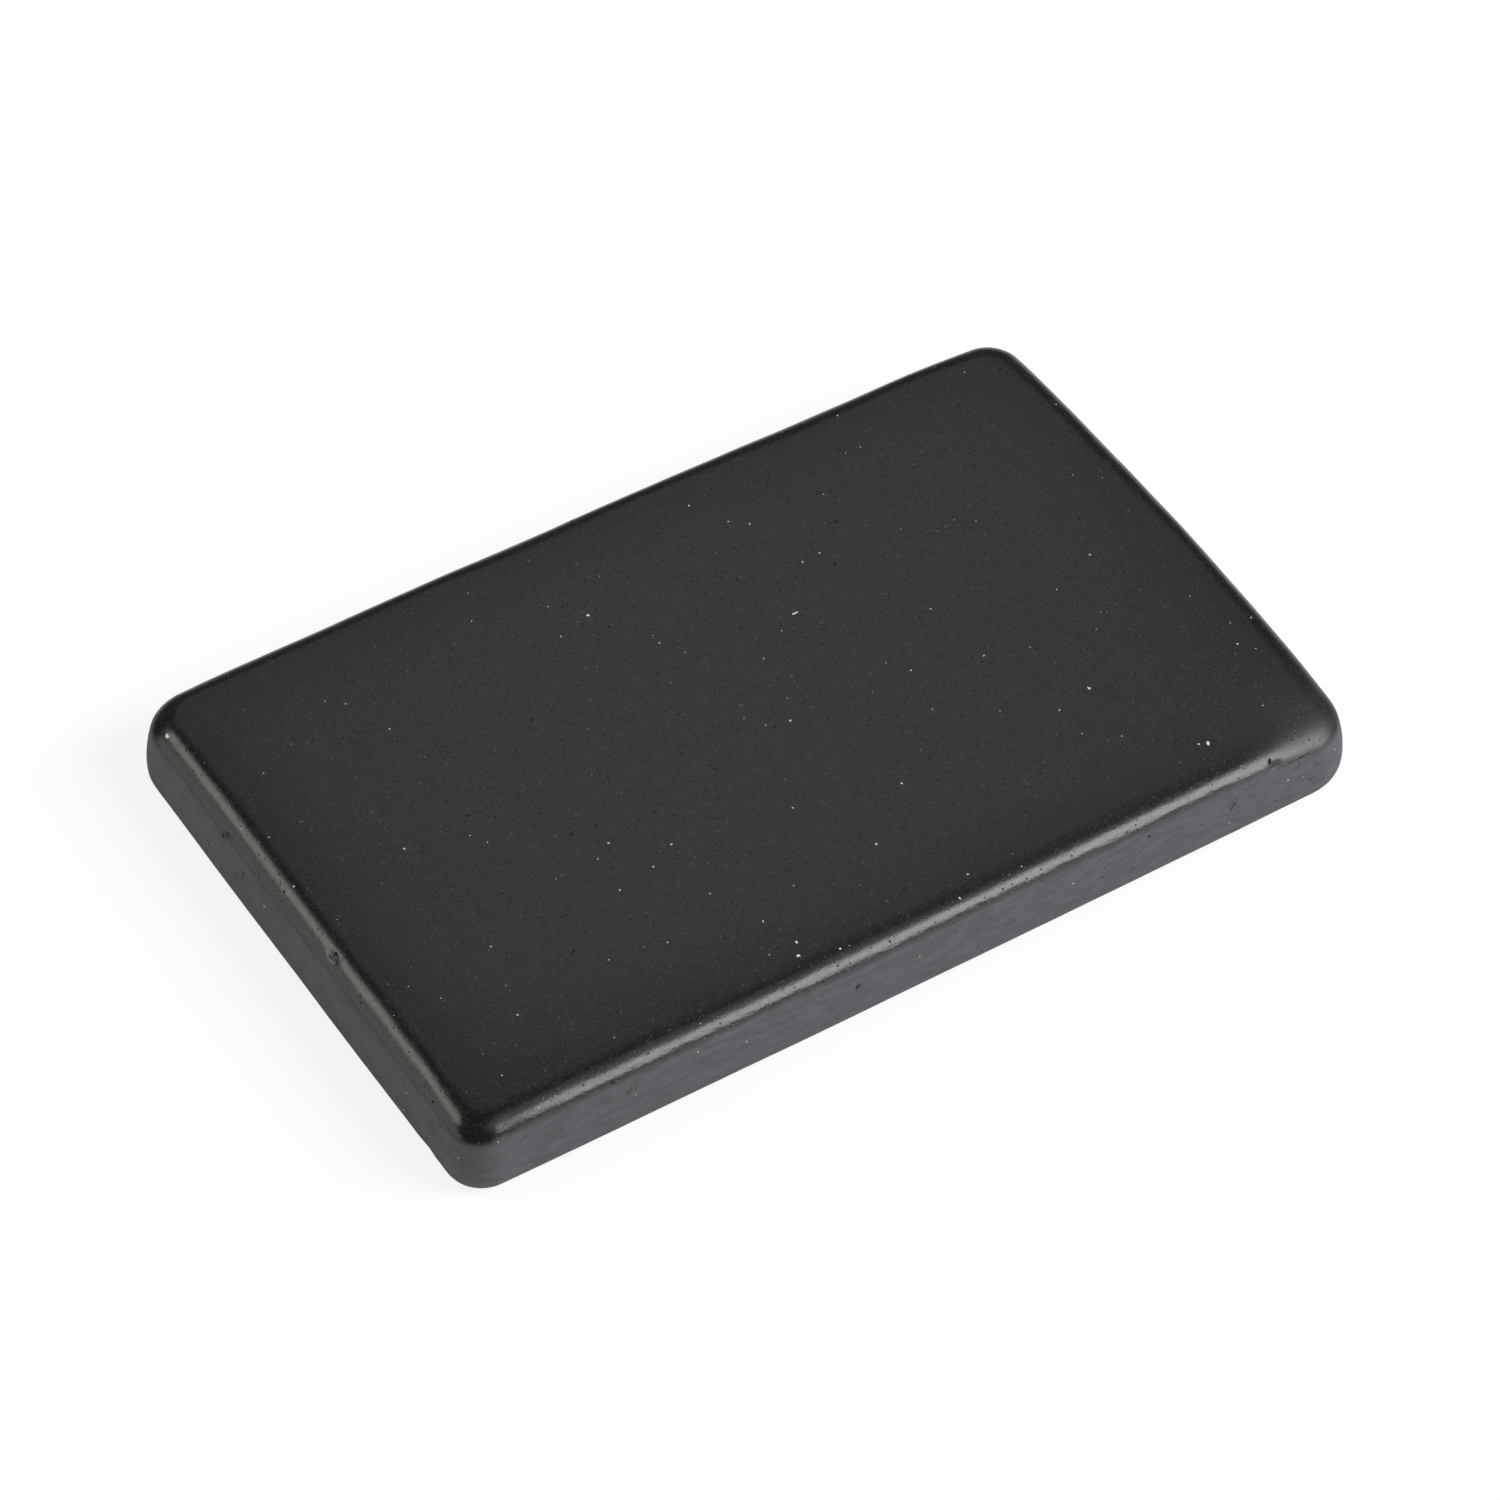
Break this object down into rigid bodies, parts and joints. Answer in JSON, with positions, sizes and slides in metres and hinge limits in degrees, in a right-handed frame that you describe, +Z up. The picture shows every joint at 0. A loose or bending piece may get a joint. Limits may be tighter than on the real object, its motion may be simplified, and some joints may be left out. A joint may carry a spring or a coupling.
{
  "type": "massage stone",
  "caption": "Flat rectangular basalt stone with rounded corners and eased edges, warmed or cooled and laid on the body in massage.",
  "frame": {"origin": "bottom centre of the stone's box, on the surface that it lies on", "axes": "+X along the stone's length, +Y across its width, +Z up through its thickness"},
  "size_m": [0.11, 0.0706, 0.01],
  "materials": {
    "basalt": "satin"
  },
  "bodies": {
    "root": {"massage_stone": "basalt"}
  },
  "joints": []
}
